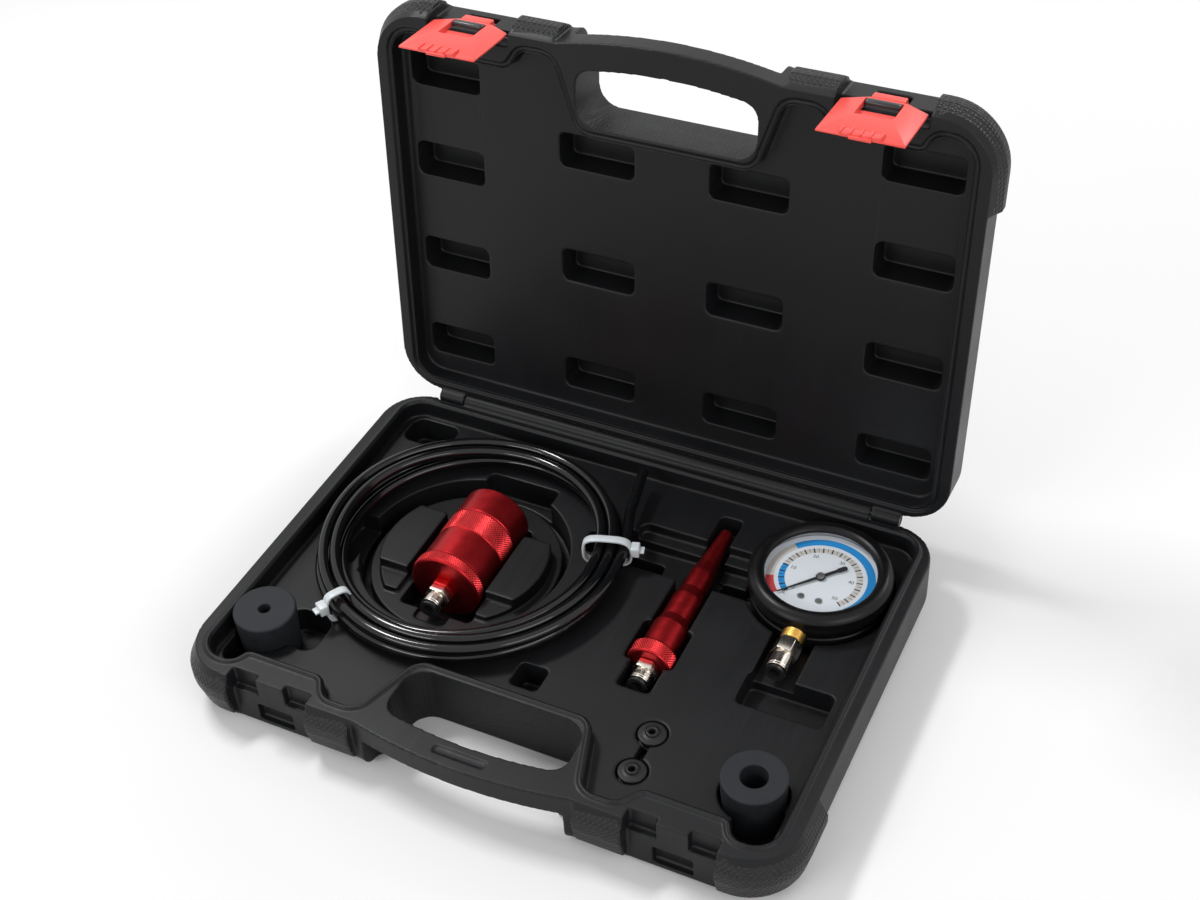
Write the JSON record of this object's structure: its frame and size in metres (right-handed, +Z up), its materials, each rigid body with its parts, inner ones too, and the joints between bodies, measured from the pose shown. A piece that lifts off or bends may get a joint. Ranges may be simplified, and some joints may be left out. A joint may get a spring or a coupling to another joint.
{
  "type": "pressure tester kit",
  "caption": "Open moulded carry case holding a rubber-booted dial gauge, a coiled hose, a stepped and a large push-in adapter, rubber plugs and grommets.",
  "frame": {"origin": "middle of the flat underside of the case's base, on the surface it rests on", "axes": "+X to the right as seen from the handle, +Y from the handle to the hinge, +Z up"},
  "size_m": [0.3492, 0.2998, 0.2846],
  "materials": {
    "case_plastic": "fine-grained black blow-moulded polyethylene",
    "latch_plastic": "red moulded plastic",
    "boot_rubber": "black moulded rubber",
    "lens_glass": "clear",
    "dial_paint": "white printed dial with black and coloured bands",
    "needle_paint": "black",
    "steel": "zinc plated",
    "brass": "turned",
    "nickel": "nickel plated brass",
    "collet_plastic": "black",
    "seal_rubber": "black",
    "hose_plastic": "black polyurethane",
    "tie_plastic": "natural white nylon",
    "red_anodised": "red anodised, turned and knurled",
    "plug_rubber": "black moulded rubber"
  },
  "bodies": {
    "base": {"case_base": "case_plastic", "hinge_pin": "steel"},
    "lid": {"case_lid": "case_plastic"},
    "right_latch": {"latch_right": "latch_plastic"},
    "left_latch": {"latch_left": "latch_plastic"},
    "gauge": {"gauge_boot": "boot_rubber", "gauge_case": "steel", "lens_ring": "steel", "gauge_lens": "lens_glass", "gauge_stem": "brass", "gauge_dial": "dial_paint", "dial_screws": "steel", "socket_screws": "steel", "stop_pin": "steel", "movement_bottom_plate": "brass", "movement_top_plate": "brass", "movement_pillars": "brass", "movement_screws": "steel", "bourdon_tube": "brass", "bourdon_tip": "brass", "hairspring": "steel", "gauge_fitting": "nickel", "gauge_gripper": "steel", "gauge_oring": "seal_rubber"},
    "pointer": {"needle": "needle_paint", "needle_cap": "brass", "pinion_arbor": "brass"},
    "sector": {"sector_gear": "brass"},
    "link": {"bourdon_link": "brass"},
    "gauge_release": {"gauge_collet": "collet_plastic"},
    "hose": {"hose_coil": "hose_plastic", "hose_end": "hose_plastic", "right_tie": "tie_plastic", "left_tie": "tie_plastic"},
    "large_adapter": {"adapter_cap": "red_anodised", "adapter_barrel": "red_anodised", "adapter_seal": "seal_rubber", "adapter_fitting": "nickel", "adapter_gripper": "steel", "adapter_oring": "seal_rubber"},
    "adapter_release": {"adapter_collet": "collet_plastic"},
    "long_adapter": {"stepped_adapter": "red_anodised", "stepped_fitting": "nickel", "stepped_gripper": "steel", "stepped_oring": "seal_rubber"},
    "stepped_release": {"stepped_collet": "collet_plastic"},
    "left_plug": {"small_bore_plug": "plug_rubber"},
    "right_plug": {"large_bore_plug": "plug_rubber"},
    "rear_ring": {"rear_grommet": "plug_rubber"},
    "front_ring": {"front_grommet": "plug_rubber"}
  },
  "joints": [
    {"name": "lid_hinge", "type": "hinge", "parent": "base", "child": "lid", "pos_m": [0, 0.1228, 0.036], "axis": [-1, 0, 0], "range_deg": [-95, 0]},
    {"name": "right_latch_hinge", "type": "hinge", "parent": "lid", "child": "right_latch", "pos_m": [0.113, 0.15842, 0.27099], "axis": [-1, 0, 0], "range_deg": [0, 95]},
    {"name": "left_latch_hinge", "type": "hinge", "parent": "lid", "child": "left_latch", "pos_m": [-0.113, 0.15842, 0.27099], "axis": [-1, 0, 0], "range_deg": [0, 95]},
    {"name": "gauge_lift", "type": "slide", "parent": "base", "child": "gauge", "axis": [0, 0, 1], "range_m": [0, 0.045]},
    {"name": "pointer_turn", "type": "hinge", "parent": "gauge", "child": "pointer", "pos_m": [0.1193, 0.066, 0.03], "axis": [0, 0, -1], "range_deg": [0, 270], "stiffness_Nm_per_rad": 0.00002, "springref_deg": -17.19},
    {"name": "sector_turn", "type": "hinge", "parent": "gauge", "child": "sector", "pos_m": [0.1373, 0.066, 0.024], "axis": [0, 0, 1], "range_deg": [0, 33.75]},
    {"name": "link_turn", "type": "hinge", "parent": "sector", "child": "link", "pos_m": [0.13625, 0.06255, 0.0247], "axis": [0, 0, 1], "range_deg": [-33.75, 0]},
    {"name": "gauge_release_press", "type": "slide", "parent": "gauge", "child": "gauge_release", "axis": [0, 1, 0], "range_m": [0, 0.001], "stiffness_N_per_m": 600, "springref_m": -0.0005},
    {"name": "hose_lift", "type": "slide", "parent": "base", "child": "hose", "axis": [0, 0, 1], "range_m": [0, 0.045]},
    {"name": "large_adapter_lift", "type": "slide", "parent": "base", "child": "large_adapter", "axis": [0, 0, 1], "range_m": [0, 0.06]},
    {"name": "adapter_release_press", "type": "slide", "parent": "large_adapter", "child": "adapter_release", "axis": [0, 1, 0], "range_m": [0, 0.001], "stiffness_N_per_m": 600, "springref_m": -0.0005},
    {"name": "long_adapter_lift", "type": "slide", "parent": "base", "child": "long_adapter", "axis": [0, 0, 1], "range_m": [0, 0.045]},
    {"name": "stepped_release_press", "type": "slide", "parent": "long_adapter", "child": "stepped_release", "axis": [0, 1, 0], "range_m": [0, 0.001], "stiffness_N_per_m": 600, "springref_m": -0.0005},
    {"name": "left_plug_lift", "type": "slide", "parent": "base", "child": "left_plug", "axis": [0, 0, 1], "range_m": [0, 0.04]},
    {"name": "right_plug_lift", "type": "slide", "parent": "base", "child": "right_plug", "axis": [0, 0, 1], "range_m": [0, 0.04]},
    {"name": "rear_ring_lift", "type": "slide", "parent": "base", "child": "rear_ring", "axis": [0, 0, 1], "range_m": [0, 0.03]},
    {"name": "front_ring_lift", "type": "slide", "parent": "base", "child": "front_ring", "axis": [0, 0, 1], "range_m": [0, 0.03]}
  ],
  "couplings": [
    {"joint": "sector_turn", "follows": "pointer_turn", "ratio": 0.125},
    {"joint": "link_turn", "follows": "pointer_turn", "ratio": -0.125}
  ]
}
